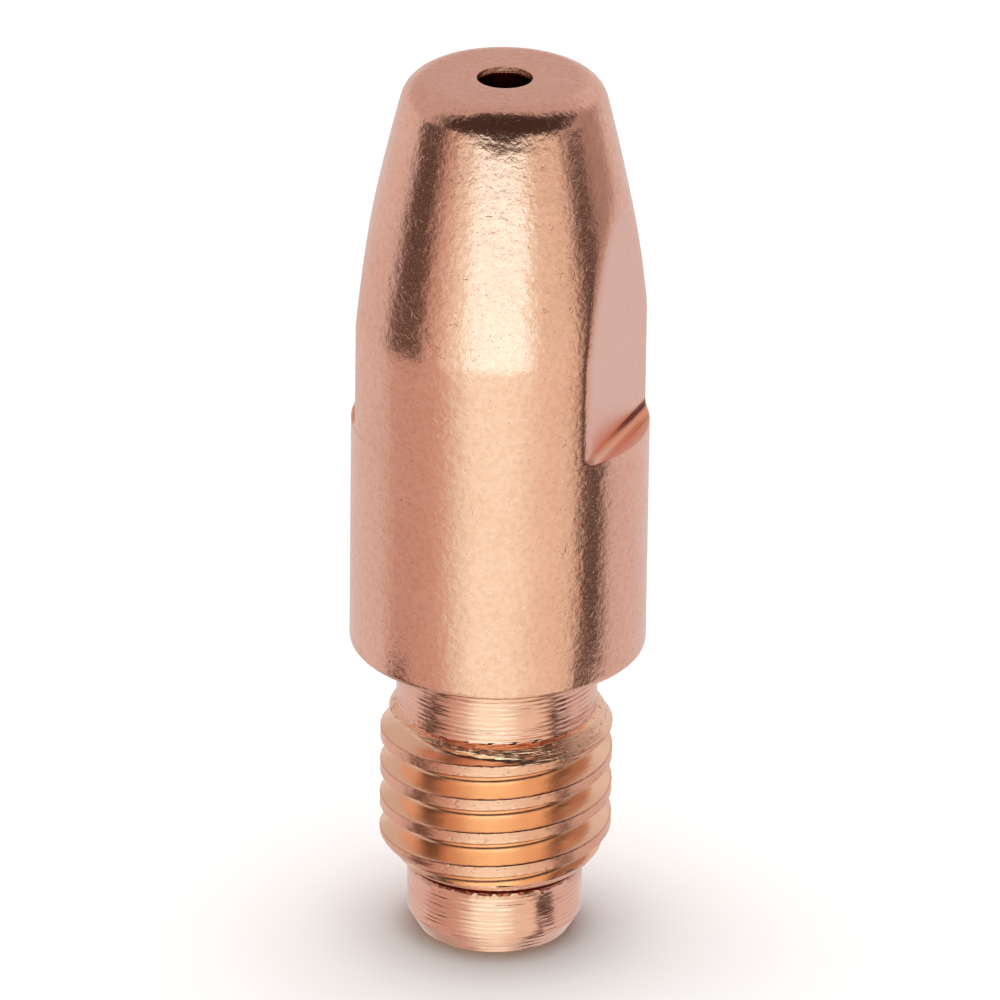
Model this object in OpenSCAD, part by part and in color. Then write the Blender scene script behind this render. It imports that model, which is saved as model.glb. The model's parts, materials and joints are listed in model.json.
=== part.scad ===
// Welding contact tip: a one-piece turned copper nozzle that screws into a torch and feeds the wire.
// It stands on its pilot end, with the wire axis on Z, and the spanner flats face +X and -X.

/* [Body] */
// Height from the standing end to the nose face
overall_length = 31; // [27:0.5:40]
// Diameter of the plain body
body_d = 10; // [9.2:0.1:12]
// Radius of the edge round the shoulder
shoulder_round = 0.25; // [0.1:0.05:0.6]

/* [Nose] */
// Length of the tapered nose, from the end of the plain body to the nose face
nose_length = 8.5; // [6:0.5:12]
// Diameter where the taper would meet the nose face
nose_d = 6.5; // [5.5:0.1:7.5]
// How far the taper bulges out from a straight cone
nose_bulge = 0.12; // [0.05:0.01:0.3]
// Radius of the rounded nose rim
rim_round = 1; // [0.4:0.05:1.5]

/* [Spanner flats] */
// Width across the two flats
across_flats = 8.4; // [7.6:0.1:9]
// Height of the flats' lower step above the shoulder
flat_start = 8.2; // [4:0.1:12]

/* [Wire bore] */
// Diameter of the wire bore
bore_d = 1.75; // [0.9:0.05:2.6]
// Diameter of the wire entry at the standing end
entry_d = 3.6; // [3:0.1:4.4]
// Depth of the conical wire entry
entry_depth = 2; // [1:0.1:4]

/* [Pilot end] */
// Diameter of the plain pilot
pilot_d = 5.95; // [5.5:0.05:6.4]
// Length of the plain pilot
pilot_length = 2.5; // [1.5:0.1:4]
// Depth of the pilot's end chamfer, measured along the radius
end_chamfer = 0.4; // [0.1:0.05:0.6]
// Length of the pilot's end chamfer, measured along the axis
end_chamfer_length = 0.65; // [0.2:0.05:1]

/* [Thread] */
// Diameter over the thread crests
thread_d = 7.85; // [7.4:0.05:8]
// Rise of the right-hand thread in one turn
thread_pitch = 1.25; // [1:0.05:1.5]
// Width of the flat land on the thread's crest
thread_land = 0.41; // [0.2:0.01:0.5]
// Angle between the groove's two flanks
thread_angle = 60; // [50:1:65]
// Width of the groove's floor
thread_root = 0.12; // [0.06:0.01:0.35]
// Length from the pilot to the top of the thread's run-out
thread_length = 5.7; // [4:0.1:9]
// Length of the cone that runs the thread out into the neck
runout_length = 0.6; // [0.2:0.05:1.5]
// Turn of the thread about the axis
thread_turn = -49; // [-180:1:180]

/* [Neck] */
// Diameter of the neck under the shoulder
neck_d = 6.8; // [6:0.1:7]
// Length of the neck
neck_length = 2.35; // [1.2:0.05:4]
// Radius of the fillet between the neck and the shoulder
neck_fillet = 1; // [0.2:0.05:1.1]

/* [Hidden] */
$fn = 96;
// Cutters reach this far past the faces that they break through
overcut = 0.5;
// Straight steps along the nose taper, round the rim, round the shoulder edge and round the neck fillet
taper_steps = 16;
rim_steps = 12;
edge_steps = 6;
fillet_steps = 8;
// The neck fillet leaves at least this much of the shoulder's seat flat
least_seat = 0.3;
// Straight steps in one turn of the thread
turn_steps = 36;
// Share of a turn over which the groove comes out of the metal, and how far it then clears the crests
exit_turn = 0.3;
exit_lift = 0.05;
copper = [0.86, 0.56, 0.43];

body_r = body_d / 2;
pilot_r = pilot_d / 2;
crest_r = thread_d / 2;
neck_r = neck_d / 2;
// Land, floor and two flanks fill one pitch, which gives the groove its depth
thread_depth = (thread_pitch - thread_land - thread_root) / (2 * tan(thread_angle / 2));
root_r = crest_r - thread_depth;
// A 45 degree lead chamfer takes the thread down to the pilot
lead_chamfer = crest_r - pilot_r;
runout_top = pilot_length + thread_length;
shoulder_z = runout_top + neck_length;
seat_r = body_r - shoulder_round;
fillet_r = min(neck_fillet, seat_r - neck_r - least_seat, neck_length);
knee_z = overall_length - nose_length;
flat_z = shoulder_z + flat_start;

// The taper is an arc from the knee to the nose face, and the rim's arc touches it and the face from inside
knee = [body_r, knee_z];
nose_corner = [nose_d / 2, overall_length];
chord = nose_corner - knee;
outward = [chord[1], -chord[0]] / norm(chord);
taper_r = (pow(norm(chord) / 2, 2) + pow(nose_bulge, 2)) / (2 * nose_bulge);
taper_centre = (knee + nose_corner) / 2 - (taper_r - nose_bulge) * outward;
rim_z = overall_length - rim_round;
rim_centre = [
    taper_centre[0] + sqrt(pow(taper_r - rim_round, 2) - pow(rim_z - taper_centre[1], 2)),
    rim_z
];
knee_angle = direction(knee - taper_centre);
rim_angle = direction(rim_centre - taper_centre);

// The groove's cutter starts half a pitch below the lead chamfer and climbs to the top of the run-out.
// It reaches past the crests by less than would make its turns meet.
groove_z = pilot_length - thread_pitch / 2;
groove_over = thread_land / 2;
groove_turns = (runout_top - groove_z) / thread_pitch;
groove_steps = ceil(groove_turns * turn_steps);

// Angle of a vector, counted from the radius towards the axis
function direction(v) = atan2(v[1], v[0]);

// Points along an arc
function arc(centre, radius, from, to, steps) = [
    for (i = [0:steps])
        let (a = from + (to - from) * i / steps)
        centre + radius * [cos(a), sin(a)]
];

// Half outline of the turned blank, as radius and height, from the standing end to the nose
function blank_outline() = concat(
    [[0, 0], [pilot_r - end_chamfer, 0], [pilot_r, end_chamfer_length], [pilot_r, pilot_length]],
    [[crest_r, pilot_length + lead_chamfer], [crest_r, runout_top - runout_length]],
    [[neck_r, runout_top]],
    arc([neck_r + fillet_r, shoulder_z - fillet_r], fillet_r, 180, 90, fillet_steps),
    arc([seat_r, shoulder_z + shoulder_round], shoulder_round, -90, 0, edge_steps),
    arc(taper_centre, taper_r, knee_angle, rim_angle, taper_steps),
    arc(rim_centre, rim_round, rim_angle + (90 - rim_angle) / rim_steps, 90, rim_steps - 1),
    [[0, overall_length]]
);

// How far the groove's floor has risen at a step: it comes out of the metal over the last part of a turn
function groove_rise(step) =
    let (left = (groove_steps - step) / turn_steps)
    max(0, 1 - left / exit_turn) * (thread_depth + exit_lift);

// Half width of the groove at a height above its floor
function groove_half(height) = thread_root / 2 + height * tan(thread_angle / 2);

// The groove's four corners at a step: two on the floor and two outside the crests.
// As it comes out of the metal, the groove keeps the line of its lower flank.
function groove_ring(step) =
    let (
        turn = step / turn_steps,
        angle = thread_turn + 360 * turn,
        rise = groove_rise(step),
        z = groove_z + thread_pitch * turn - rise * tan(thread_angle / 2),
        floor_r = root_r + rise,
        top_r = max(crest_r, floor_r) + groove_over,
        low = groove_half(0),
        high = groove_half(top_r - floor_r)
    )
    [
        for (corner = [[floor_r, -low], [top_r, -high], [top_r, high], [floor_r, low]])
            [corner[0] * cos(angle), corner[0] * sin(angle), z + corner[1]]
    ];

// Solid body of revolution, before the bore, the flats and the thread are cut
module blank() {
    rotate_extrude()
        polygon(blank_outline());
}

// Through bore with its conical entry at the standing end
module wire_bore() {
    translate([0, 0, -overcut])
        cylinder(h = overall_length + 2 * overcut, d = bore_d);
    slope = (entry_d - bore_d) / entry_depth;
    translate([0, 0, -overcut])
        cylinder(h = entry_depth + overcut, d1 = entry_d + slope * overcut, d2 = bore_d);
}

// The metal that the cutter takes off both sides to leave the spanner flats
module spanner_flats() {
    depth = body_r + overcut;
    for (side = [0, 180])
        rotate([0, 0, side])
            translate([across_flats / 2, -depth, flat_z])
                cube([depth, 2 * depth, overall_length + overcut - flat_z]);
}

// Right-hand helical groove, swept as rings of four corners
module thread_groove() {
    rings = [for (step = [0:groove_steps]) groove_ring(step)];
    points = [for (ring = rings) each ring];
    sides = [
        for (step = [0:groove_steps - 1], i = [0:3])
            let (a = 4 * step + i, b = 4 * step + (i + 1) % 4)
            each [[a, b, b + 4], [a, b + 4, a + 4]]
    ];
    last = 4 * groove_steps;
    polyhedron(points, concat(sides, [[3, 2, 1, 0]], [[last, last + 1, last + 2, last + 3]]));
}

// The whole tip, one piece of copper
module contact_tip() {
    color(copper)
        difference() {
            blank();
            wire_bore();
            spanner_flats();
            thread_groove();
        }
}

contact_tip();
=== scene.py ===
"""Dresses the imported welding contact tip: one turned copper piece that stands on a plain studio floor."""

import json
import math
from typing import NamedTuple

import bpy
import numpy as np
from bpy.props import FloatProperty, FloatVectorProperty, PointerProperty
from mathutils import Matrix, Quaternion, Vector


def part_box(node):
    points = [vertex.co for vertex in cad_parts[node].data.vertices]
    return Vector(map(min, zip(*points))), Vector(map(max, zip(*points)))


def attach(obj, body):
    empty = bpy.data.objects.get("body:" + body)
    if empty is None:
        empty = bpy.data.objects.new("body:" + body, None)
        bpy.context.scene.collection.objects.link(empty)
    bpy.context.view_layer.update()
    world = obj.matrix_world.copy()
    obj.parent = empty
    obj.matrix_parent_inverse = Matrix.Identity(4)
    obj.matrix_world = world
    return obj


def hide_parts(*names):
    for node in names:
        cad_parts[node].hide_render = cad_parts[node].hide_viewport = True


bl_info = {
    "name": "Welding contact tip",
    "version": (1, 0, 0),
    "blender": (4, 5, 0),
    "location": "View3D > Sidebar > Contact tip",
    "description": "Builds the copper contact tip with its finishes, and the stage that it stands on",
    "category": "Object",
}

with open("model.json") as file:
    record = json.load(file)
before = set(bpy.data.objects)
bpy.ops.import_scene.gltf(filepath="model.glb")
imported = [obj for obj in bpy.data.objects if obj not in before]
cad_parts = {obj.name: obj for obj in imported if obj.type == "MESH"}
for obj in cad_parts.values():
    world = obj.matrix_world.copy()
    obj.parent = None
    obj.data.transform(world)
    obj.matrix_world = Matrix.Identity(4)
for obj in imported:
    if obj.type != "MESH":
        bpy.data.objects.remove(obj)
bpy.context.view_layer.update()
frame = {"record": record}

NODE = "contact_tip"
MM = 0.001
TURN = 2 * math.pi
QUARTER = math.pi / 2
BOX_LOW, BOX_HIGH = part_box(NODE)
MOUNTS = {mount["name"]: mount for mount in frame["record"]["mounts"]}

# Finishes of the one piece, in the order of its material slots. The last, on the bore and the torn notch's
# floor, is painted shade
TUMBLED, TURNED, FLANK, LAND, RUNOUT, MILLED, SHADED_RECESS = range(7)


def radius_of(mount):
    """Radius of a round mount, in metres."""
    return MOUNTS[mount]["dims"]["r_mm"] * MM


def place_of(mount, axis):
    """One coordinate of a mount's place."""
    return MOUNTS[mount]["pos_m"][axis]


def length(name, description, default):
    """A size in metres."""
    return FloatProperty(
        name=name, description=description, default=default, min=0.0, precision=6, unit="LENGTH"
    )


def angle(name, description, degrees):
    """An angle, given in degrees and kept in radians."""
    return FloatProperty(
        name=name, description=description, default=math.radians(degrees), subtype="ANGLE"
    )


def share(name, description, default):
    """A plain number from 0 to 1."""
    return FloatProperty(name=name, description=description, default=default, min=0.0, max=1.0)


def colour(name, description, default):
    """A linear colour, which may be brighter than white where it stands for a light."""
    return FloatVectorProperty(
        name=name, description=description, default=default,
        size=3, min=0.0, soft_max=1.0, subtype="COLOR",
    )


class TipSizes(bpy.types.PropertyGroup):
    """Sizes of the contact tip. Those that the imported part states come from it."""

    overall_length: length(
        "Overall length", "Height from the standing end to the nose", BOX_HIGH[2] - BOX_LOW[2]
    )
    body_radius: length("Body radius", "Radius of the plain body", BOX_HIGH[0])
    shoulder_height: length(
        "Shoulder height", "Height of the shoulder's seat", place_of("shoulder_seat", 2)
    )
    shoulder_round: length("Shoulder round", "Radius of the edge round the shoulder", 0.25 * MM)
    nose_length: length("Nose length", "Length of the tapered nose", 8.5 * MM)
    nose_radius: length("Nose radius", "Radius where the taper would meet the nose face", 3.25 * MM)
    nose_bulge: length("Nose bulge", "How far the taper bulges out from a straight cone", 0.12 * MM)
    rim_round: length("Rim round", "Radius of the rounded nose rim", 1.0 * MM)
    rim_wear: length("Rim wear", "Depth of the worn place on the nose rim", 0.07 * MM)
    wear_reach: length("Wear reach", "How far below the nose face the worn place begins", 1.4 * MM)
    wear_angle: angle("Wear angle", "Place of the worn rim round the axis", 291)
    wear_spread: angle("Wear spread", "How far the worn place spreads round the rim", 8)
    flat_distance: length(
        "Flat distance", "Distance of a spanner flat from the axis", place_of("spanner_flat_right", 0)
    )
    flat_start: length("Flat start", "Height of the flats' lower step above the shoulder", 8.2 * MM)
    flat_fillet: length("Flat fillet", "Radius left by the cutter in the flat's corner", 0.28 * MM)
    # Painted shade: how far the dark red painted into the flats' corners climbs the flat
    corner_shade_reach: length("Corner stain", "How far the corner's dark red climbs the flat", 0.18 * MM)
    edge_break: length("Edge break", "Width over which the flats' edges are rounded", 0.2 * MM)
    bore_radius: length("Bore radius", "Radius of the wire bore", radius_of("wire_bore"))
    bore_mouth: length("Bore mouth", "Radius of the edge round the bore's mouth", 0.01 * MM)
    bore_flare: length("Bore flare", "How far the wire has worn the bore's mouth open", 0.055 * MM)
    flare_depth: length("Flare depth", "Depth of the worn mouth", 0.2 * MM)
    mouth_ragged: length("Mouth ragged", "How unevenly the bore's mouth is worn", 0.012 * MM)
    entry_radius: length("Entry radius", "Radius of the wire entry at the standing end", 1.8 * MM)
    entry_depth: length("Entry depth", "Depth of the conical wire entry", 2.0 * MM)
    pilot_radius: length("Pilot radius", "Radius of the plain pilot", radius_of("pilot"))
    pilot_length: length("Pilot length", "Length of the plain pilot", 2.5 * MM)
    end_chamfer: length("End chamfer", "Depth of the pilot's end chamfer along the radius", 0.4 * MM)
    end_chamfer_length: length(
        "End chamfer length", "Length of the pilot's end chamfer along the axis", 0.65 * MM
    )
    crest_radius: length("Crest radius", "Radius over the thread's crests", radius_of("holder_thread"))
    thread_pitch: length("Thread pitch", "Rise of the right-hand thread in one turn", 1.25 * MM)
    thread_land: length("Thread land", "Width of the flat land on the thread's crest", 0.41 * MM)
    thread_root: length("Thread root", "Width of the groove's floor", 0.12 * MM)
    thread_angle: angle("Thread angle", "Angle between the groove's two flanks", 60)
    thread_length: length("Thread length", "Length from the pilot to the run-out's top", 5.7 * MM)
    thread_turn: angle("Thread turn", "Turn of the thread about the axis", -49)
    runout_length: length("Run-out length", "Length of the cone that runs the thread out", 0.6 * MM)
    runout_ledge: length("Run-out ledge", "Width of the ledge on top of the run-out cone", 0.2 * MM)
    exit_turn: share("Exit turn", "Share of a turn over which the groove leaves the metal", 0.3)
    exit_lift: length("Exit lift", "How far the groove's floor clears the crests at last", 0.05 * MM)
    root_round: length("Root round", "Half width of the rounding of the groove's floor", 0.10 * MM)
    crest_break: length("Crest break", "Width over which the crests' edges are rounded", 0.06 * MM)
    lead_step: length("Lead step", "Width of the step at the foot of the lead chamfer", 0.22 * MM)
    burr_height: length("Burr height", "How far the burr stands up along the crests", 0.025 * MM)
    end_notch: length("End notch", "Depth of the torn notch between thread and pilot", 0.13 * MM)
    neck_radius: length("Neck radius", "Radius of the neck under the shoulder", 3.4 * MM)
    neck_fillet: length("Neck fillet", "Radius of the fillet under the shoulder", 1.0 * MM)


class TipFinish(bpy.types.PropertyGroup):
    """Colours and gloss of the bare copper, with painted bounce light and shade for the flats' step and
    corners, the bore and the torn notch.
    """

    clean: colour("Clean copper", "Colour of freshly milled copper", (0.93, 0.57, 0.465))
    tumbled: colour("Tumbled copper", "Colour of the tumbled body", (0.92, 0.512, 0.385))
    bright: colour("Bright copper", "Colour of the cut thread", (1.0, 0.63, 0.425))
    rubbed: colour("Rubbed copper", "Colour of the thread's crests", (0.87, 0.44, 0.30))
    tarnish: colour("Tarnish", "Colour of handled, slightly brown copper", (0.78, 0.40, 0.28))
    # Painted bounce light: orange on the flats' step, in place of light that the flats throw onto it
    bounce_orange: colour("Ember copper", "Orange on the step of the flats", (0.93, 0.40, 0.23))
    # Painted shade: dark red in the flats' corners and in the bore
    deep: colour("Deep copper", "Dark red in the flats' corners", (0.17, 0.018, 0.01))
    # Painted shade inside the wire bore and on the torn notch's floor
    recess_shade: colour("Soot", "Colour inside the wire bore", (0.14, 0.03, 0.025))
    tumbled_rough: share("Tumbled roughness", "Roughness of the tumbled body", 0.22)
    turned_rough: share("Turned roughness", "Roughness of the turned neck and pilot", 0.16)
    thread_rough: share("Thread roughness", "Roughness of the thread's flanks", 0.21)
    land_rough: share("Land roughness", "Roughness of the thread's crests", 0.26)
    milled_rough: share("Milled roughness", "Roughness of the spanner flats", 0.33)
    bore_rough: share("Bore roughness", "Roughness of the wire bore", 0.35)


class StageSettings(bpy.types.PropertyGroup):
    """Camera, floor, lamp and the soft boxes of the studio."""

    camera_azimuth: angle("Camera azimuth", "Turn of the camera from straight in front", 21.1)
    camera_elevation: angle("Camera elevation", "Height of the camera above the horizon", 24.52)
    camera_roll: angle("Camera roll", "Lean of the camera about its own axis", 0.745)
    camera_distance: length("Camera distance", "Distance from the tip's middle", 389.5 * MM)
    frame_height: length("Frame height", "Height of the picture at the tip's middle", 33.565 * MM)
    shift_x: FloatProperty(name="Shift X", description="Sideways, in picture widths", default=0.00067)
    shift_y: FloatProperty(name="Shift Y", description="Upward, in picture widths", default=0.00464)
    floor_size: length("Floor size", "Half the side of the floor", 2.0)
    floor_colour: colour("Floor colour", "Colour of the pale floor", (0.90, 0.90, 0.89))
    lamp_power: FloatProperty(
        name="Lamp power", description="Power of the overhead lamp", default=23.0, unit="POWER"
    )
    lamp_height: length("Lamp height", "Height of the overhead lamp above the floor", 1.5)
    surround: colour("Surround", "Neutral light from behind and from the sides", (0.77, 0.75, 0.76))
    high_back: colour("High back", "Dimmer light from behind and above", (0.62, 0.555, 0.545))
    ceiling: colour("Ceiling", "Dark overhead and above the camera", (0.06, 0.042, 0.038))
    side: colour("Side", "Softer light beside the front and from below", (0.92, 0.93, 0.82))
    front: colour("Front", "Light from in front", (1.12, 1.35, 1.23))
    window: colour("Window", "Bright light in front, near the horizon", (1.42, 2.0, 2.08))
    wood: colour("Wood", "Warm brown at the sides of the front light", (0.66, 0.52, 0.47))
    below: colour("Below", "Dimmer light from the floor behind, at the left", (0.53, 0.46, 0.43))
    shade: colour("Shade", "Half dark beside the right-hand flag", (0.43, 0.35, 0.33))
    flag: colour("Flag", "Dark flags at both sides", (0.09, 0.065, 0.055))


# Surface of the tip

# Heights over which the body turns into the flats' step and into the taper
STEP_LIP, KNEE_BLEND = 0.03 * MM, 0.12 * MM
# Least cosine that the flats' plane is divided by
LEAST_COSINE = 1e-6
# Span of a torn edge's waves, in roots of their count
TORN_SPAN = 2.2
# The torn notch's start below the thread, and its rings' way out, way up and raggedness, all in shares of
# its depth, with their finish. The floor's rings take the bore's painted shade, in place of the shade in the
# notch.
NOTCH_DROP = 1.9
NOTCH = (
    (1 / 4, 1 / 2, 1 / 3, LAND), (0, 1, 1 / 3, LAND), (-0.7, 1.5, 1 / 4, SHADED_RECESS), (-0.3, 1.7, 1 / 4, SHADED_RECESS),
)


def soft_min(first, second, width):
    """The smaller of two values, lowered where they differ by less than the width: by a quarter of the width
    times the square of the share that is left."""
    left = np.clip(1 - np.abs(first - second) / width, 0, 1)
    return np.minimum(first, second) - width * left**2 / 4


def eased(value, start, end):
    """Share s of the way from start to end, eased at both: 3 s^2 - 2 s^3."""
    part = np.clip((value - start) / (end - start), 0, 1)
    return part**2 * (3 - 2 * part)


def torn(travel, seed, count, slowest, fastest):
    """Ragged number from 0 to 1 along the thread: a sum of sines of random pace and phase."""
    draw = np.random.default_rng(seed)
    pace = draw.uniform(slowest, fastest, count)
    phase = draw.uniform(0, TURN, count)
    waves = np.sin(TURN * travel[..., None] * pace + phase).sum(axis=-1)
    return np.clip(0.5 + waves / (TORN_SPAN * math.sqrt(count)), 0, 1)


def stretches(stops, counts):
    """Numbers from stop to stop, evenly spaced between each two. The last is left out."""
    spans = zip(stops, stops[1:], counts)
    return np.concatenate([np.linspace(low, high, count, endpoint=False) for low, high, count in spans])


def upright(radius, heights):
    """Points above each other, at one radius."""
    return np.column_stack([np.full(len(heights), radius), heights])


def straight(start, end, steps):
    """Points on a straight line from start, which is left out, to end."""
    part = np.arange(1, steps + 1)[:, None] / steps
    return np.asarray(start) + part * (np.asarray(end) - np.asarray(start))


def around(centre, radius, angles):
    """Points round a centre, at centre + radius * (cos a, sin a), for the angles a."""
    return np.asarray(centre) + radius * np.column_stack([np.cos(angles), np.sin(angles)])


def bend(centre, radius, start, end, steps):
    """Points round a centre at even angles from start, which is left out, to end."""
    return around(centre, radius, start + (end - start) * np.arange(1, steps + 1) / steps)


class Columns:
    """The grid's columns. They are mirrored about the two flats, and crowd together along the flats' edges.
    Fold is a column's angle from the middle of its flat, and its angle is axis + side * fold."""

    inside, across, outside = 18, 10, 52
    half_band = math.radians(1.5)
    least_edge = math.radians(8)
    nearly = 0.999

    def __init__(self, edge):
        stops = (0, edge - self.half_band, edge + self.half_band, QUARTER)
        quadrant = stretches(stops, (self.inside, self.across, self.outside))
        back = quadrant[:0:-1]
        fold = np.concatenate([quadrant, [QUARTER], back])
        axis = np.concatenate([np.zeros(len(quadrant) + 1), np.full(len(back), math.pi)])
        side = np.concatenate([np.ones(len(quadrant) + 1), -np.ones(len(back))])
        self.edge = edge
        self.fold = np.tile(fold, 2)
        self.axis = np.concatenate([axis, axis + math.pi])
        self.side = np.tile(side, 2)
        self.count = len(self.fold)
        self.angles = self.axis + self.side * self.fold

    def folds_at(self, edges):
        """Folds of each row, stretched on both sides so that the edge column lies at its edge."""
        inner = self.fold * edges / self.edge
        outer = QUARTER - (QUARTER - self.fold) * (QUARTER - edges) / (QUARTER - self.edge)
        return np.where(self.fold < self.edge, inner, outer)


class Outline(NamedTuple):
    """Rings along the outline, in columns. Plane is the flats' distance, least the radius they may cut to,
    finish that of the strip up to the ring, and corner its weight of painted bounce light and shade in the
    flats' corner."""

    radius: np.ndarray
    height: np.ndarray
    plane: np.ndarray
    least: np.ndarray
    finish: np.ndarray
    ragged: np.ndarray
    corner: np.ndarray


class Rows(list):
    """Collects rings, in the order of the outline's columns. Those without a plane are cut by no flat."""

    def add(self, points, finish, plane=math.inf, least=0.0, ragged=0.0, corner=0.0):
        points = np.atleast_2d(points)
        rest = [np.broadcast_to(value, len(points)) for value in (plane, least, finish, ragged, corner)]
        self.append(np.column_stack([points, *rest]))


def taper_arcs(sizes):
    """Centres, radii and end angles of the nose. The taper is an arc from the knee to the nose corner with
    the bulge as its sagitta, and the rim's arc touches the taper and the nose face from inside."""
    top = sizes.overall_length
    knee = np.array([sizes.body_radius, top - sizes.nose_length])
    corner = np.array([sizes.nose_radius, top])
    chord = corner - knee
    span = np.hypot(*chord)
    outward = np.array([chord[1], -chord[0]]) / span
    taper_r = ((span / 2) ** 2 + sizes.nose_bulge**2) / (2 * sizes.nose_bulge)
    taper_centre = (knee + corner) / 2 - (taper_r - sizes.nose_bulge) * outward
    rim_z = top - sizes.rim_round
    reach = math.sqrt((taper_r - sizes.rim_round) ** 2 - (rim_z - taper_centre[1]) ** 2)
    rim_centre = np.array([taper_centre[0] + reach, rim_z])
    knee_angle = math.atan2(*(knee - taper_centre)[::-1])
    rim_angle = math.atan2(*(rim_centre - taper_centre)[::-1])
    return taper_centre, taper_r, knee_angle, rim_angle, rim_centre


def lower_rows(sizes, top):
    """Rings from the wire entry's mouth over the end face and pilot to the lead chamfer. Under that there is
    a torn notch, whose lower lip stands out and whose floor is painted dark as shade."""
    rows = Rows()
    pilot_r, notch = sizes.pilot_radius, sizes.end_notch
    pilot_top = sizes.pilot_length - NOTCH_DROP * notch
    mouth = (sizes.entry_radius, 0.0)
    foot = (pilot_r - sizes.end_chamfer, 0.0)
    bevel = (pilot_r, sizes.end_chamfer_length)
    rows.add(mouth, SHADED_RECESS)
    rows.add(straight(mouth, foot, steps=2), TURNED)
    rows.add(straight(foot, bevel, steps=3), TURNED)
    rows.add(straight(bevel, (pilot_r, pilot_top), steps=6), TURNED)
    for outward, up, ragged, finish in NOTCH:
        rows.add((pilot_r + outward * notch, pilot_top + up * notch), finish, ragged=ragged * notch)
    rows.add(top, LAND)
    return np.concatenate(rows)


def upper_rows(sizes, bottom):
    """Rings from a height in the neck over the body, step, nose and bore to the wire entry. A line is scored
    along the middle of the step. The step, the line and the flats' fillet carry weights of painted bounce
    light and shade."""
    rows = Rows()
    body_r, flat, fillet = sizes.body_radius, sizes.flat_distance, sizes.flat_fillet
    neck_r, hollow, edge = sizes.neck_radius, sizes.neck_fillet, sizes.shoulder_round
    seat = sizes.shoulder_height
    rows.add((neck_r, bottom), TURNED)
    rows.add(straight((neck_r, bottom), (neck_r, seat - hollow), steps=4), TURNED)
    rows.add(bend((neck_r + hollow, seat - hollow), hollow, math.pi, QUARTER, steps=8), TURNED)
    rows.add(straight((neck_r + hollow, seat), (body_r - edge, seat), steps=2), TURNED)
    rows.add(bend((body_r - edge, seat + edge), edge, -QUARTER, 0, steps=8), TUMBLED)

    step, lip = seat + sizes.flat_start, STEP_LIP
    line, floor = flat + (body_r - flat) / 2, step + lip / 4
    rows.add(straight((body_r, seat + edge), (body_r, step - 2 * lip), steps=5), TUMBLED)
    rows.add((body_r, step - lip / 2), TUMBLED)
    # Corner weights: painted orange bounce light on the step, painted dark shade along the scored line, and
    # painted dark red shade up the fillet, fading out above it
    rows.add((body_r, step), MILLED, flat + fillet, least=body_r - lip / 2, corner=0.3)
    rows.add((body_r, step + lip / 8), MILLED, line + lip, corner=0.3)
    rows.add((body_r, step + lip / 6), MILLED, line, corner=0.8)
    rows.add((body_r, step + lip / 5), MILLED, line - lip, corner=0.35)
    rows.add((body_r, floor), MILLED, flat + fillet, corner=0.4)
    climb = bend((0, fillet), fillet, -QUARTER, 0, steps=6)
    deeper = np.array([0.45, 0.5, 0.6, 0.9, 1.0, 1.0])
    rows.add(upright(body_r, floor + climb[:, 1]), MILLED, flat + fillet - climb[:, 0], corner=deeper)
    fade = np.array([0.2, 0.5, 1.0])
    stain_and_shade = floor + fillet + sizes.corner_shade_reach * fade
    rows.add(upright(body_r, stain_and_shade), MILLED, flat, corner=(1 - fade) ** 2)
    nose_rows(rows, sizes, stain_and_shade[-1])
    return np.concatenate(rows)


def nose_rows(rows, sizes, low):
    """Adds the rings from a height on the flats to the wire entry. Up the taper, each ring lies where the
    flats' edge has narrowed by an even angle."""
    body_r, flat = sizes.body_radius, sizes.flat_distance
    centre, taper_r, knee_angle, rim_angle, rim_centre = taper_arcs(sizes)
    top = sizes.overall_length
    knee = top - sizes.nose_length
    blend_angle = knee_angle + KNEE_BLEND / taper_r
    rows.add(straight((body_r, low), (body_r, knee - KNEE_BLEND), steps=5), TUMBLED, flat)
    rows.add(bend(centre, taper_r, knee_angle, blend_angle, steps=1), TUMBLED, flat)
    widest = math.acos(flat / (centre[0] + taper_r * math.cos(blend_angle)))
    edges = np.linspace(widest, Columns.least_edge, num=31)[1:]
    cuts = np.arccos((flat / np.cos(edges) - centre[0]) / taper_r)
    rows.add(around(centre, taper_r, cuts), TUMBLED, flat)
    rows.add(bend(centre, taper_r, cuts[-1], rim_angle, steps=18), TUMBLED, flat)
    rows.add(bend(rim_centre, sizes.rim_round, rim_angle, QUARTER, steps=16), TUMBLED, flat)

    mouth, bore_r = sizes.bore_mouth, sizes.bore_radius
    lip_r = bore_r + sizes.bore_flare + mouth
    worn, throat = (bore_r, top - sizes.flare_depth), (bore_r, sizes.entry_depth)
    uneven = sizes.mouth_ragged * np.array([0.7, 1.0, 0.7, 0.0])
    rows.add(straight((rim_centre[0], top), (lip_r, top), steps=6), TUMBLED)
    rows.add(bend((lip_r, top - mouth), mouth, QUARTER, math.pi, steps=4), TUMBLED)
    rows.add(straight((lip_r - mouth, top - mouth), worn, steps=4), LAND, ragged=uneven)
    # Below the worn mouth the bore is painted dark as shade
    rows.add(straight(worn, throat, steps=5), SHADED_RECESS)
    rows.add(straight(throat, (sizes.entry_radius, 0.0), steps=6)[:-1], SHADED_RECESS)


def edge_angles(sizes, outline, columns):
    """Angle of the flats' edge at each ring, acos(plane / radius). Near the flats' apex it opens again."""
    radius, height = outline.radius, outline.height
    apart = np.arccos(np.clip(outline.plane / radius, -1, 1))
    followed = apart > columns.least_edge * columns.nearly
    rim = sizes.overall_length - sizes.rim_round
    last = height[followed].max()
    opened = columns.least_edge + (columns.edge - columns.least_edge) * eased(height, last, rim)
    on_nose = (height > last) & (height < rim) & (radius > sizes.rim_round)
    return np.where(followed, apart, np.where(on_nose, opened, columns.edge))


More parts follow.
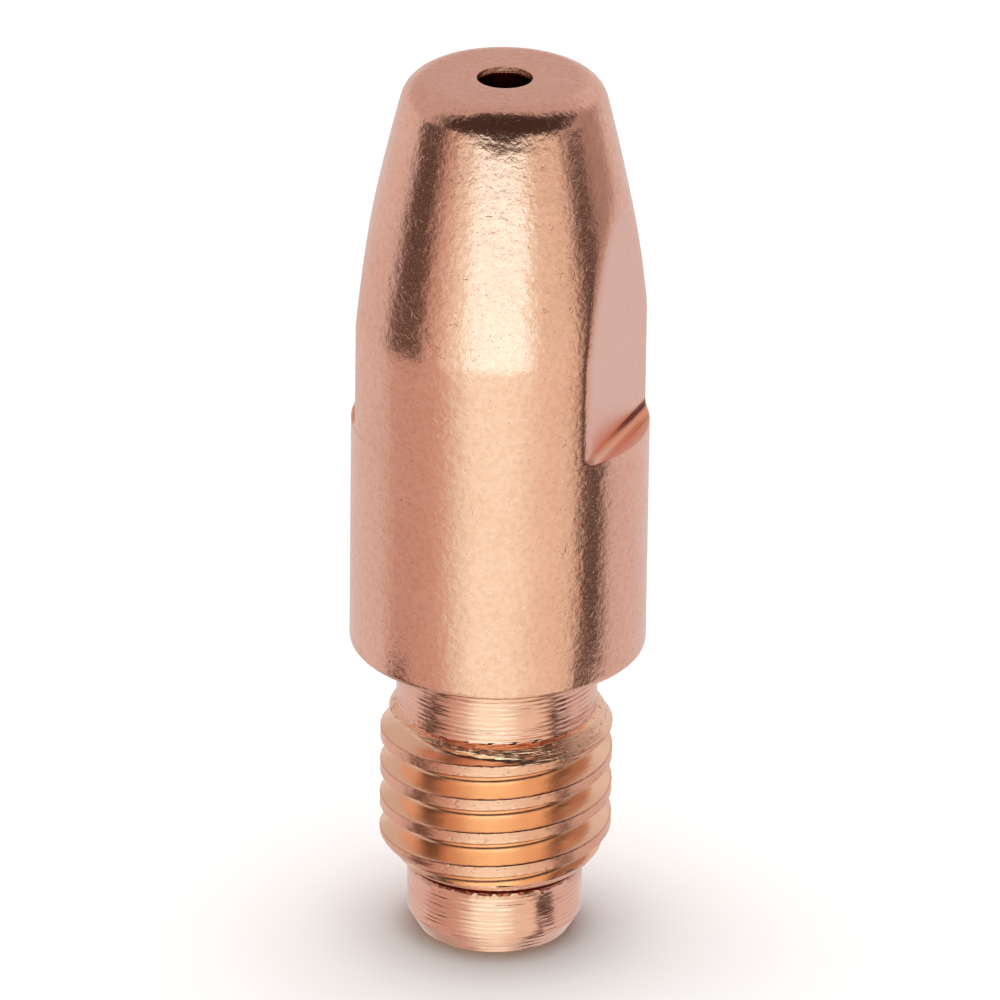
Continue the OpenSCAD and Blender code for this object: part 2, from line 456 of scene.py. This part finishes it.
def ring_points(sizes, outline, columns):
    """Points of the rings, and whether a flat cuts them. Their radius is the smaller of the outline's and
    the flats', plane / cos fold."""
    folds = columns.folds_at(edge_angles(sizes, outline, columns))
    reach = outline.plane / np.maximum(np.cos(folds), LEAST_COSINE)
    radius = soft_min(outline.radius, np.maximum(reach, outline.least), sizes.edge_break)
    angles = columns.axis + columns.side * folds
    travel = angles / TURN + outline.height / sizes.thread_pitch
    rough = torn(travel, seed=8, count=16, slowest=12, fastest=90) - 0.5
    radius = radius + outline.ragged * rough - rim_wear(sizes, angles, outline)
    height = np.broadcast_to(outline.height, radius.shape)
    points = np.stack([radius * np.cos(angles), radius * np.sin(angles), height], axis=-1)
    return points, reach < outline.radius


def rim_wear(sizes, angles, outline):
    """How much is worn off the nose rim: a bell round the wear's angle, which grows up to the rim's arc and
    dies away over the nose face."""
    top = sizes.overall_length
    bell = np.exp((np.cos(angles - sizes.wear_angle) - 1) / sizes.wear_spread**2)
    grown = eased(outline.height, top - sizes.wear_reach, top - sizes.rim_round / 2)
    inward = np.clip(outline.radius / sizes.rim_round - 1, 0, 1)
    return sizes.rim_wear * bell * grown * inward


def corner_shading(sizes, outline, points):
    """Weight of the painted bounce light and shade in a flat's corner, from 0 to 1: most where a right turn
    leads to.
    """
    middle, growth, least = 0.75, 0.9, 0.25
    across = points[..., 1] * np.sign(points[..., 0]) / sizes.flat_distance
    return outline.corner * np.clip(middle + growth * across, least, 1.0)


class Thread:
    """The right-hand groove between the pilot and the neck. Band and burr are shares of the land, and snap,
    within which rows are drawn to an end, is one of the pitch."""

    margin = 0.1 * MM
    lead_in = 0.15 * MM
    flank_rows, edge_rows, land_rows = 8, 4, 4
    band, burr, snap = 1 / 10, 1 / 8, 1 / 150
    upper_burr = 0.8

    def __init__(self, sizes):
        self.sizes = sizes
        self.slope = math.tan(sizes.thread_angle / 2)
        self.depth = (sizes.thread_pitch - sizes.thread_land - sizes.thread_root) / (2 * self.slope)
        self.start = sizes.pilot_length - sizes.thread_pitch / 2
        self.top = sizes.pilot_length + sizes.thread_length
        self.turns = (self.top - self.start) / sizes.thread_pitch
        self.half_gap = (sizes.thread_pitch - sizes.thread_land) / 2
        self.low = sizes.pilot_length + self.lead_in
        self.high = self.top + self.margin

    def blank(self, height):
        """Radius of the uncut pilot, step, lead chamfer, crests, run-out cone, ledge and neck."""
        s = self.sizes
        lead = s.pilot_length + s.crest_radius - s.pilot_radius
        foot = (s.pilot_radius + s.lead_step, s.pilot_length + s.lead_step / 4)
        ledge = (s.neck_radius + s.runout_ledge, self.top - s.runout_ledge / 2)
        heights = [s.pilot_length, foot[1], lead, self.top - s.runout_length, ledge[1], self.top]
        radii = [s.pilot_radius, foot[0], s.crest_radius, s.crest_radius, ledge[0], s.neck_radius]
        return np.interp(height, heights, radii)

    def place(self, angles, height):
        """Turns made along the groove since its start, and the height above the groove's middle there."""
        s = self.sizes
        rise = (height - self.start) / s.thread_pitch - (angles - s.thread_turn) / TURN
        lap = np.round(rise)
        return lap + (angles - s.thread_turn) / TURN, (rise - lap) * s.thread_pitch

    def radius(self, angles, height):
        """Smaller of the blank and the groove, a hyperbola as deep and as wide as the thread. Over the exit
        turn it comes out along its lower flank, and a torn burr stands up along the crests' edges."""
        s = self.sizes
        travel, above = self.place(angles, height)
        part = np.clip(1 - (self.turns - travel) / s.exit_turn, 0, 1)
        rise = part * (self.depth + s.exit_lift)
        run = np.hypot(above + rise * self.slope, s.root_round) - s.root_round
        full = math.hypot(self.half_gap, s.root_round) - s.root_round
        flank = s.crest_radius + rise - self.depth * (1 - run / full)
        flank = np.where((travel < 0) | (travel > self.turns), s.body_radius, flank)
        beside = (np.abs(above) - self.half_gap) / (s.thread_land * self.burr)
        lower, upper = (torn(travel, seed, count=14, slowest=25, fastest=120) for seed in (3, 5))
        ragged = np.where(above < 0, lower, self.upper_burr * upper)
        burr = s.burr_height * ragged * np.exp(-(beside**2))
        return soft_min(self.blank(height) + burr, flank, s.crest_break)

    def offsets(self):
        """Heights of one pitch's rows above the groove's middle, closest together at the corners."""
        band, half = self.sizes.thread_land * self.band, self.sizes.thread_pitch / 2
        stops = (0, self.half_gap - band, self.half_gap + band, half)
        one_side = stretches(stops, (self.flank_rows, self.edge_rows, self.land_rows))
        return np.concatenate([-one_side[:0:-1], one_side, [half]])

    def grid(self, angles):
        """Heights of the rows that follow the groove, base + pitch * angle / turn, and a pitch's number of
        rows. One turn on, a row meets the one that lies a pitch higher."""
        s = self.sizes
        middle = self.start - s.thread_pitch * s.thread_turn / TURN
        offsets = self.offsets()
        first = math.floor((self.low - s.thread_pitch - middle) / s.thread_pitch) - 1
        last = math.ceil((self.high - middle) / s.thread_pitch) + 1
        laps = np.arange(first, last + 1)
        bases = (middle + laps[:, None] * s.thread_pitch + offsets).ravel()
        return bases[:, None] + s.thread_pitch * angles / TURN, len(offsets)


def strips(rings, count):
    """Corner numbers of the faces between neighbouring rings, given as arrays of first point numbers."""
    column = np.arange(count)
    after = (column + 1) % count
    low, high = rings[:-1, None], rings[1:, None]
    return np.stack([low + column, low + after, high + after, high + column], axis=-1)


def thread_faces(thread, columns, low_ring, high_ring, first):
    """Points and faces between the pilot's last ring and the neck's first. Rows that leave the stretch are
    drawn to the ring there, and a face that has lost a side is a triangle."""
    heights, per_pitch = thread.grid(columns.angles)
    snap = thread.sizes.thread_pitch * thread.snap
    below = heights < thread.low + snap
    above = heights > thread.high - snap
    inside = ~(below | above)
    numbers = np.zeros(heights.shape, dtype=np.int64)
    numbers[inside] = first + np.arange(inside.sum())
    numbers = np.where(below, low_ring + np.arange(columns.count), numbers)
    numbers = np.where(above, high_ring + np.arange(columns.count), numbers)
    seam = np.full(len(numbers), high_ring)
    seam[:-per_pitch] = numbers[per_pitch:, 0]
    numbers = np.column_stack([numbers, seam])

    angles = np.broadcast_to(columns.angles, heights.shape)[inside]
    height = heights[inside]
    radius = thread.radius(angles, height)
    points = np.column_stack([radius * np.cos(angles), radius * np.sin(angles), height])

    a, b, c, d = numbers[:-1, :-1], numbers[:-1, 1:], numbers[1:, 1:], numbers[1:, :-1]
    quads = np.stack([a, b, c, d], axis=-1)[(a != d) & (b != c)]
    left = np.stack([a, b, c], axis=-1)[(a == d) & (b != c)]
    right = np.stack([a, b, d], axis=-1)[(a != d) & (b == c)]
    return points, quads, np.concatenate([left, right])


def thread_finish(thread, points, faces):
    """Finish of thread faces: flank where the blank is cut, and else by height."""
    middle = points[faces].mean(axis=1)
    radius, height = np.hypot(middle[:, 0], middle[:, 1]), middle[:, 2]
    tops = [thread.sizes.pilot_length, thread.top - thread.sizes.runout_length, thread.top]
    uncut = np.array([TURNED, LAND, RUNOUT, TURNED])[np.digitize(height, tops)]
    return np.where(thread.blank(height) - radius > thread.sizes.crest_break / 2, FLANK, uncut)


def ring_finish(columns, finish, cut):
    """Finish of the faces up to rings: milled where a flat cuts the ring, tumbled where a milled strip runs
    past the flats, and else as the ring says."""
    on_flat = columns.fold + np.roll(columns.fold, -1) < 2 * columns.edge
    past = (finish == MILLED) & ~on_flat
    return np.where(cut & np.roll(cut, -1, axis=1), MILLED, np.where(past, TUMBLED, finish))


def bake_map(points, faces, length_of):
    """Flat map of the faces' corners: turn about the axis sideways, and way along the outline upwards. Faces
    that cross the seam stay together on its far side."""
    corners = points[faces]
    turn = np.arctan2(corners[..., 1], corners[..., 0]) / TURN % 1.0
    crosses = np.ptp(turn, axis=1) > 0.5
    turn = np.where(crosses[:, None] & (turn < 0.5), turn + 1.0, turn)
    return np.stack([turn, length_of[faces]], axis=-1).reshape(-1, 2)


def stored_mesh(points, faces, finish, corner, flat_map):
    """The mesh with its finishes, its weights of painted bounce light and shade in the flats' corners and
    its flat map.
    """
    mesh = bpy.data.meshes.new(NODE)
    mesh.from_pydata(points.tolist(), [], faces)
    mesh.polygons.foreach_set("material_index", finish.astype(np.int32))
    depths = mesh.attributes.new("corner", "FLOAT", "POINT")
    depths.data.foreach_set("value", corner.astype(np.float32))
    layer = mesh.uv_layers.new(name="OFBake")
    layer.uv.foreach_set("vector", flat_map.astype(np.float32).ravel())
    mesh.shade_smooth()
    mesh.set_sharp_from_angle(angle=math.radians(35))
    mesh.validate()
    mesh.update()
    return mesh


def tip_mesh(sizes):
    """Mesh of the whole tip: a closed grid that runs up the outside, over the nose and down the bore."""
    thread = Thread(sizes)
    columns = Columns(math.acos(sizes.flat_distance / sizes.body_radius))
    lower = lower_rows(sizes, (thread.blank(thread.low), thread.low))
    table = np.concatenate([lower, upper_rows(sizes, thread.high)])
    outline = Outline(*np.split(table, len(Outline._fields), axis=1))
    rings, cut = ring_points(sizes, outline, columns)
    split, total, count = len(lower), len(table), columns.count
    starts = np.arange(total) * count
    groups = (starts[:split], np.append(starts[split:], 0))
    ring_quads = np.concatenate([strips(group, count) for group in groups]).reshape(-1, 4)
    leads_to = np.delete(np.append(np.arange(1, total), 0), split - 1)

    inner, quads, triangles = thread_faces(
        thread, columns, starts[split - 1], starts[split], first=total * count
    )
    points = np.concatenate([rings.reshape(-1, 3), inner])
    finish = np.concatenate([
        ring_finish(columns, outline.finish[leads_to], cut[leads_to]).ravel(),
        thread_finish(thread, points, quads),
        thread_finish(thread, points, triangles),
    ])
    quads = np.concatenate([ring_quads, quads])
    # Weights of the painted bounce light and shade in the flats' corners; none on the thread
    corner = np.concatenate([corner_shading(sizes, outline, rings).ravel(), np.zeros(len(inner))])

    steps = np.hypot(*np.diff(table[:, :2], axis=0, append=table[:1, :2]).T)
    along = np.concatenate([[0], np.cumsum(steps)])
    thread_run = along[split - 1] + inner[:, 2] - thread.low
    run = np.concatenate([np.repeat(along[:-1], count), thread_run]) / along[-1]
    flat_map = np.concatenate([bake_map(points, faces, run) for faces in (quads, triangles)])
    return stored_mesh(points, quads.tolist() + triangles.tolist(), finish, corner, flat_map)


# Finishes

# Sockets of a node that mixes colours, whose names repeat for each kind of data
MIX_FACTOR, MIX_FIRST, MIX_SECOND, MIX_RESULT = 0, 6, 7, 2
# Heights between which the tumbled texture deepens at the nose rim, and by how much
NOSE_RISE, NOSE_RELIEF = (29 * MM, 30.2 * MM), 1.6


def add(tree, kind, inputs=None, **settings):
    """Adds a shader node, sets its properties, and joins or fills the inputs that are given."""
    made = tree.nodes.new("ShaderNode" + kind)
    for name, value in settings.items():
        setattr(made, name, value)
    for socket, value in (inputs or {}).items():
        if isinstance(value, bpy.types.NodeSocket):
            tree.links.new(value, made.inputs[socket])
        else:
            made.inputs[socket].default_value = value
    return made


def maths(tree, operation, *values):
    """Result of an operation on numbers."""
    return add(tree, "Math", dict(enumerate(values)), operation=operation).outputs[0]


def sum_of(tree, first, second, amount=1.0):
    """First plus the second times an amount."""
    return maths(tree, "MULTIPLY_ADD", second, amount, first)


def times(tree, first, second):
    """Product of two numbers."""
    return maths(tree, "MULTIPLY", first, second)


def weighted(tree, first, *others):
    """Sum of values times their weights, given in pairs."""
    total = times(tree, *first)
    for value, weight in others:
        total = sum_of(tree, total, value, weight)
    return total


def ramp(tree, value, low, high, to_low=0.0, to_high=1.0):
    """Value taken smoothly from the range low to high into the range to_low to to_high."""
    made = add(
        tree, "MapRange",
        {"Value": value, "From Min": low, "From Max": high, "To Min": to_low, "To Max": to_high},
        interpolation_type="SMOOTHSTEP",
    )
    return made.outputs["Result"]


def place(tree, stretch=(1.0, 1.0, 1.0), turn=(0.0, 0.0, 0.0)):
    """Object coordinates, turned about the three axes and then stretched along them."""
    where = add(tree, "TexCoord").outputs["Object"]
    turned = add(tree, "Mapping", {"Vector": where, "Rotation": turn}).outputs["Vector"]
    return add(tree, "Mapping", {"Vector": turned, "Scale": stretch}).outputs["Vector"]


def upward(tree, where):
    """Upward part of a place or direction."""
    return add(tree, "SeparateXYZ", {"Vector": where}).outputs["Z"]


def noise(tree, where, size, detail=2.0, roughness=0.5):
    """Noise from about 0 to 1 whose patches are of the size given."""
    inputs = {"Vector": where, "Scale": 1.0 / size, "Detail": detail, "Roughness": roughness}
    return add(tree, "TexNoise", inputs).outputs["Fac"]


def colour_between(tree, factor, first, second):
    """Colour between a first, which may be another node's, and a second, by a factor."""
    if not isinstance(first, bpy.types.NodeSocket):
        first = (*first, 1.0)
    inputs = {MIX_FACTOR: factor, MIX_FIRST: first, MIX_SECOND: (*second, 1.0)}
    return add(tree, "Mix", inputs, data_type="RGBA").outputs[MIX_RESULT]


def empty_material(name):
    """A material with an empty node tree, and its tree."""
    material = bpy.data.materials.new(name)
    material.use_nodes = True
    material.node_tree.nodes.clear()
    return material, material.node_tree


def surface(tree, kind, inputs):
    """Adds a shader node as the material's surface."""
    shader = add(tree, kind, inputs)
    add(tree, "OutputMaterial", {"Surface": shader.outputs[0]})


def coated(maker, finish):
    """A metal named after its maker, which gives its colour, roughness, relief and the relief's depth."""
    material, tree = empty_material(maker.__name__)
    tone, rough, relief, depth = maker(tree, finish)
    bump = add(tree, "Bump", {"Height": relief, "Distance": depth, "Strength": 1.0})
    surface(tree, "BsdfPrincipled", {
        "Metallic": 1.0, "Base Color": tone, "Roughness": rough, "Normal": bump.outputs["Normal"],
    })
    return material


def curls(tree, where, size, width, kept, broader=1.7, fade=0.06):
    """Short curly scratches: thin bands where a noise crosses its middle and a broader one is high."""
    off = maths(tree, "SUBTRACT", noise(tree, where, size, 1.0), 0.5)
    line = ramp(tree, maths(tree, "ABSOLUTE", off), 0.0, width, 1.0, 0.0)
    return times(tree, line, ramp(tree, noise(tree, where, size * broader, 1.0), kept, kept + fade))


def tumbled_copper(tree, finish):
    """Tumbled body: satin grain, dents, scratches and dark pits, which are deepest at the nose rim."""
    where = place(tree)
    grain = noise(tree, where, 0.055 * MM, 2.0, 0.6)
    pebbles = noise(tree, where, 0.2 * MM, 2.0, 0.6)
    dents = noise(tree, where, 0.5 * MM)
    scratches = curls(tree, where, size=0.45 * MM, width=0.035, kept=0.62)
    slanting = place(tree, stretch=(1.0, 1.0, 0.2), turn=(0.5, 0.6, 0.0))
    scuffs = ramp(tree, noise(tree, slanting, 0.07 * MM, 1.0), 0.68, 0.76)
    pits = ramp(tree, noise(tree, where, 0.11 * MM, 1.0), 0.70, 0.78)
    handled = ramp(tree, noise(tree, where, 2.6 * MM, 4.0, 0.6), 0.35, 0.75)
    mottled = ramp(tree, noise(tree, where, 0.2 * MM, 3.0, 0.6), 0.40, 0.65)
    stained = weighted(tree, (handled, 0.25), (pits, 0.5), (mottled, 0.45))
    tone = colour_between(tree, stained, finish.tumbled, finish.tarnish)
    glossy, matt = finish.tumbled_rough - 0.04, finish.tumbled_rough + 0.05
    rough = sum_of(tree, ramp(tree, grain, 0.3, 0.7, glossy, matt), pits, 0.2)
    relief = weighted(
        tree,
        (dents, 3.5), (grain, 0.3), (pebbles, 2.2), (scratches, -0.8), (scuffs, -0.5), (pits, -0.5),
    )
    nose = ramp(tree, upward(tree, where), *NOSE_RISE, 1.0, NOSE_RELIEF)
    return tone, rough, times(tree, relief, nose), 0.0045 * MM


def turned_copper(tree, finish):
    """Turned neck and pilot: rings from the tool, uneven in depth, that break up round the piece."""
    feed = 0.175 * MM
    drawn_out = place(tree, stretch=(0.06, 0.06, 1.0))
    drift = times(tree, noise(tree, drawn_out, 0.6 * MM, 1.0), 4.0)
    rings = maths(tree, "SINE", sum_of(tree, drift, upward(tree, place(tree)), TURN / feed))
    broken = noise(tree, place(tree, stretch=(0.25, 0.25, 1.0)), 0.4 * MM)
    uneven = times(tree, rings, ramp(tree, broken, 0.35, 0.65, 0.2, 1.4))
    fine = noise(tree, drawn_out, 0.05 * MM)
    stain_and_shade = noise(tree, place(tree, stretch=(0.3, 0.3, 1.0)), 0.8 * MM, 3.0)
    stained = ramp(tree, stain_and_shade, 0.45, 0.75, 0.2, 0.6)
    tone = colour_between(tree, stained, finish.tumbled, finish.tarnish)
    return tone, finish.turned_rough, sum_of(tree, uneven, fine, 2.0), 0.006 * MM


def flank_copper(tree, finish):
    """Thread flanks: glossy, with faint tool lines along the thread and fine hairs across it."""
    lines = noise(tree, place(tree, stretch=(0.12, 0.12, 1.0)), 0.06 * MM)
    hairs = noise(tree, place(tree, stretch=(1.0, 1.0, 0.12)), 0.05 * MM)
    tint = ramp(tree, noise(tree, place(tree), 0.9 * MM), 0.4, 0.7, 0.0, 0.15)
    tone = colour_between(tree, tint, finish.bright, finish.tarnish)
    return tone, finish.thread_rough, sum_of(tree, lines, hairs, 0.8), 0.005 * MM


def land_copper(tree, finish):
    """Thread crests: rubbed and slightly torn along the thread."""
    lines = noise(tree, place(tree, stretch=(0.15, 0.15, 1.0)), 0.07 * MM)
    spots = noise(tree, place(tree, stretch=(0.6, 0.6, 1.0)), 0.12 * MM)
    spots = ramp(tree, spots, 0.62, 0.72)
    tone = colour_between(tree, times(tree, spots, 0.6), finish.rubbed, finish.tarnish)
    return tone, finish.land_rough, sum_of(tree, lines, spots, -0.6), 0.012 * MM


def runout_copper(tree, finish):
    """Run-out of the thread: coarse rings, where the tool drew out, that catch light and dark in turn."""
    rings = noise(tree, place(tree, stretch=(0.05, 0.05, 1.0)), 0.09 * MM, 2.0, 0.6)
    spots = noise(tree, place(tree, stretch=(0.4, 0.4, 1.0)), 0.15 * MM)
    spots = ramp(tree, spots, 0.55, 0.70)
    tone = colour_between(tree, times(tree, spots, 0.7), finish.bright, finish.tarnish)
    return tone, finish.land_rough, sum_of(tree, rings, spots, 0.2), 0.06 * MM


def milled_copper(tree, finish):
    """Spanner flats: matt and even, with very fine cutter lines across, painted orange bounce light on their
    step and painted dark red shade in their corners.
    """
    lines = noise(tree, place(tree, stretch=(1.0, 0.08, 1.0)), 0.05 * MM)
    tint = ramp(tree, noise(tree, place(tree), 0.3 * MM, 3.0), 0.35, 0.75, 0.0, 0.15)
    corner = add(tree, "Attribute", attribute_name="corner").outputs["Fac"]
    tone = colour_between(tree, tint, finish.clean, finish.tarnish)
    # Painted bounce light in orange, then painted shade in dark red, by the corner weight
    tone = colour_between(tree, ramp(tree, corner, 0.0, 0.45), tone, finish.bounce_orange)
    tone = colour_between(tree, ramp(tree, corner, 0.45, 0.95), tone, finish.deep)
    return tone, finish.milled_rough, lines, 0.002 * MM


def shaded_recess_copper(tree, finish):
    """Drilled bore, also laid on the torn notch's floor: painted shade from dark brown to dark red, ringed
    by the drill.
    """
    rings = noise(tree, place(tree, stretch=(0.1, 0.1, 1.0)), 0.12 * MM)
    return colour_between(tree, rings, finish.recess_shade, finish.deep), finish.bore_rough, rings, 0.012 * MM


# Makers of the finishes, in the order of the material slots
FINISHES = (
    tumbled_copper, turned_copper, flank_copper, land_copper, runout_copper, milled_copper, shaded_recess_copper,
)


# Stage


class SoftBox(NamedTuple):
    """A field of light: its colour's name, and the angles it spans and softens over, in degrees. Azimuth is
    counted from the camera to the right, and elevation from the horizon."""

    colour: str
    azimuth: tuple
    elevation: tuple
    soft_azimuth: float
    soft_elevation: float


# Each field is laid over those before it
SOFT_BOXES = (
    SoftBox("below", (-175, -105), (-82, -42), 12, 8),
    SoftBox("high_back", (-200, 200), (10, 100), 5, 6),
    SoftBox("surround", (118, 168), (16, 38), 10, 6),
    SoftBox("ceiling", (-200, 200), (74, 100), 5, 5),
    SoftBox("ceiling", (-84, 102), (28, 100), 7, 8),
    SoftBox("ceiling", (-76, 80), (9.5, 100), 7, 2),
    SoftBox("wood", (-70, 66), (-100, 7.5), 5, 3),
    SoftBox("side", (-47, 30), (-17, 8.5), 8, 2),
    SoftBox("side", (0, 61), (-100, 8.5), 9, 2),
    SoftBox("front", (-34, 20), (-100, 8.5), 18, 2),
    SoftBox("window", (-28, 22), (-14, 8.5), 4, 2),
    SoftBox("front", (-30, 24), (5.5, 8.8), 6, 1.5),
    SoftBox("wood", (-40, 34), (8.4, 10), 8, 1.2),
    SoftBox("shade", (86, 122), (-17, 24), 8, 4),
    SoftBox("flag", (65, 89), (-75, 3), 3.5, 5),
    SoftBox("flag", (-96, -62), (-17, 9), 4, 5),
    SoftBox("wood", (-96, -62), (-75, -17), 6, 4),
    SoftBox("side", (-200, 200), (-100, -74), 5, 6),
    SoftBox("front", (-200, 200), (-100, -79), 5, 4),
)


class FloorCard(NamedTuple):
    """A card on the floor: its colour's name, the azimuths of its ends from the camera, in degrees, and the
    distances of its near and far edge from the axis, in metres."""

    colour: str
    azimuth: tuple
    reach: tuple


FLOOR_CARDS = (
    FloorCard("flag", (-78, -55), (9 * MM, 16 * MM)),
    FloorCard("flag", (-86, -68), (16 * MM, 25 * MM)),
    FloorCard("surround", (44, 64), (3.4 * MM, 4.8 * MM)),
    FloorCard("flag", (44, 64), (4.8 * MM, 9 * MM)),
    FloorCard("shade", (50, 66), (9 * MM, 15 * MM)),
    FloorCard("flag", (56, 70), (15 * MM, 25 * MM)),
    FloorCard("surround", (64, 104), (3.4 * MM, 9 * MM)),
    FloorCard("surround", (70, 104), (9 * MM, 25 * MM)),
)


def placed(name, data):
    """A new object of that name and data in the scene."""
    made = bpy.data.objects.new(name, data)
    bpy.context.scene.collection.objects.link(made)
    return made


def sheet(name, corners, material):
    """A flat mesh with four corners and one material."""
    mesh = bpy.data.meshes.new(name)
    mesh.from_pydata(corners, [], [(0, 1, 2, 3)])
    mesh.materials.append(material)
    return mesh


def between(tree, value, span, soft):
    """1 inside a span of degrees and 0 outside it, with soft edges."""
    low, high = (math.radians(limit) for limit in span)
    edge = math.radians(soft)
    rises = ramp(tree, value, low - edge, low + edge)
    return times(tree, rises, ramp(tree, value, high - edge, high + edge, 1.0, 0.0))


def studio_light(stage):
    """World of soft boxes, painted by azimuth from the camera's side and elevation above the horizon."""
    world = bpy.data.worlds.new("studio")
    world.use_nodes = True
    tree = world.node_tree
    tree.nodes.clear()
    way = add(tree, "TexCoord").outputs["Generated"]
    sine, cosine = math.sin(stage.camera_azimuth), math.cos(stage.camera_azimuth)
    to_front, to_right = (
        add(tree, "VectorMath", {0: way, 1: axis}, operation="DOT_PRODUCT").outputs["Value"]
        for axis in ((sine, -cosine, 0.0), (cosine, sine, 0.0))
    )
    azimuth = maths(tree, "ARCTAN2", to_right, to_front)
    elevation = maths(tree, "ARCSINE", upward(tree, way))
    light = stage.surround
    for box in SOFT_BOXES:
        spread = times(
            tree,
            between(tree, azimuth, box.azimuth, box.soft_azimuth),
            between(tree, elevation, box.elevation, box.soft_elevation),
        )
        light = colour_between(tree, spread, light, getattr(stage, box.colour))
    background = add(tree, "Background", {"Color": light, "Strength": 1.0})
    add(tree, "OutputWorld", {"Surface": background.outputs["Background"]})
    bpy.context.scene.world = world


def studio_floor(stage):
    """Flat pale floor under the tip. The copper mirrors the soft boxes and not the floor."""
    half = stage.floor_size
    corners = [(-half, -half, 0), (half, -half, 0), (half, half, 0), (-half, half, 0)]
    material, tree = empty_material("pale_floor")
    surface(tree, "BsdfPrincipled", {
        "Base Color": (*stage.floor_colour, 1.0),
        "Roughness": 0.9,
        "Specular IOR Level": 0.0,
    })
    floor = placed("floor", sheet("floor", corners, material))
    floor.visible_glossy = False


def floor_card(stage, number, card):
    """One card, which only the neck, thread and pilot mirror. It isn't seen and throws no shadow."""
    name = f"floor_card_{number}"
    ends = np.radians(card.azimuth)[::-1] + stage.camera_azimuth
    outward = np.column_stack([np.sin(ends), -np.cos(ends), np.zeros(2)])
    near, far = (outward * reach for reach in card.reach)
    material, tree = empty_material(name)
    surface(tree, "Emission", {"Color": (*getattr(stage, card.colour), 1.0)})
    made = placed(name, sheet(name, [*near.tolist(), *far[::-1].tolist()], material))
    made.visible_camera = False
    made.visible_diffuse = False
    made.visible_shadow = False


def overhead_lamp(stage):
    """Broad soft lamp above the floor, which the copper doesn't mirror."""
    lamp = bpy.data.lights.new("overhead", "AREA")
    lamp.shape = "DISK"
    lamp.size = 1.2
    lamp.energy = stage.lamp_power
    made = placed("overhead", lamp)
    made.location = (0.0, 0.0, stage.lamp_height)
    made.visible_glossy = False


def studio_camera(stage, middle):
    """Camera that looks at the tip's middle from the azimuth, elevation and distance given."""
    level = math.cos(stage.camera_elevation)
    back = Vector((
        math.sin(stage.camera_azimuth) * level,
        -math.cos(stage.camera_azimuth) * level,
        math.sin(stage.camera_elevation),
    ))
    view = bpy.data.cameras.new("camera")
    view.sensor_width = 36.0
    view.lens = view.sensor_width * stage.camera_distance / stage.frame_height
    view.shift_x = stage.shift_x
    view.shift_y = stage.shift_y
    view.clip_start = 0.01
    view.clip_end = 10.0
    camera = placed("camera", view)
    camera.location = middle + back * stage.camera_distance
    camera.rotation_mode = "QUATERNION"
    lean = Quaternion((0.0, 0.0, 1.0), stage.camera_roll)
    camera.rotation_quaternion = (-back).to_track_quat("-Z", "Y") @ lean
    bpy.context.scene.camera = camera


# Add-on


class TIP_OT_build_tip(bpy.types.Operator):
    """Builds the copper tip with its thread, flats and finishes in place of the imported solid"""

    bl_idname = "contact_tip.build_tip"
    bl_label = "Build tip"

    def execute(self, context):
        mesh = tip_mesh(context.scene.tip_sizes)
        for maker in FINISHES:
            mesh.materials.append(coated(maker, context.scene.tip_finish))
        tip = placed("copper_tip", mesh)
        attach(tip, "root")
        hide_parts(NODE)
        return {"FINISHED"}


class TIP_OT_build_stage(bpy.types.Operator):
    """Builds the floor, the studio light and the camera"""

    bl_idname = "contact_tip.build_stage"
    bl_label = "Build stage"

    def execute(self, context):
        stage = context.scene.tip_stage
        context.scene.view_settings.view_transform = "Standard"
        studio_floor(stage)
        for number, card in enumerate(FLOOR_CARDS):
            floor_card(stage, number, card)
        studio_light(stage)
        overhead_lamp(stage)
        studio_camera(stage, (Vector(BOX_LOW) + Vector(BOX_HIGH)) / 2)
        return {"FINISHED"}


class TIP_PT_panel(bpy.types.Panel):
    """Lists the tip's builders"""

    bl_idname = "TIP_PT_panel"
    bl_label = "Contact tip"
    bl_space_type = "VIEW_3D"
    bl_region_type = "UI"
    bl_category = "Contact tip"

    def draw(self, context):
        column = self.layout.column(align=True)
        column.operator(TIP_OT_build_tip.bl_idname)
        column.operator(TIP_OT_build_stage.bl_idname)


CLASSES = (TipSizes, TipFinish, StageSettings, TIP_OT_build_tip, TIP_OT_build_stage, TIP_PT_panel)


def register():
    for made in CLASSES:
        bpy.utils.register_class(made)
    bpy.types.Scene.tip_sizes = PointerProperty(type=TipSizes)
    bpy.types.Scene.tip_finish = PointerProperty(type=TipFinish)
    bpy.types.Scene.tip_stage = PointerProperty(type=StageSettings)


def unregister():
    del bpy.types.Scene.tip_stage
    del bpy.types.Scene.tip_finish
    del bpy.types.Scene.tip_sizes
    for made in reversed(CLASSES):
        bpy.utils.unregister_class(made)


def main():
    """Registers the add-on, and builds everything."""
    register()
    bpy.ops.contact_tip.build_tip()
    bpy.ops.contact_tip.build_stage()


if __name__ == "__main__":
    main()
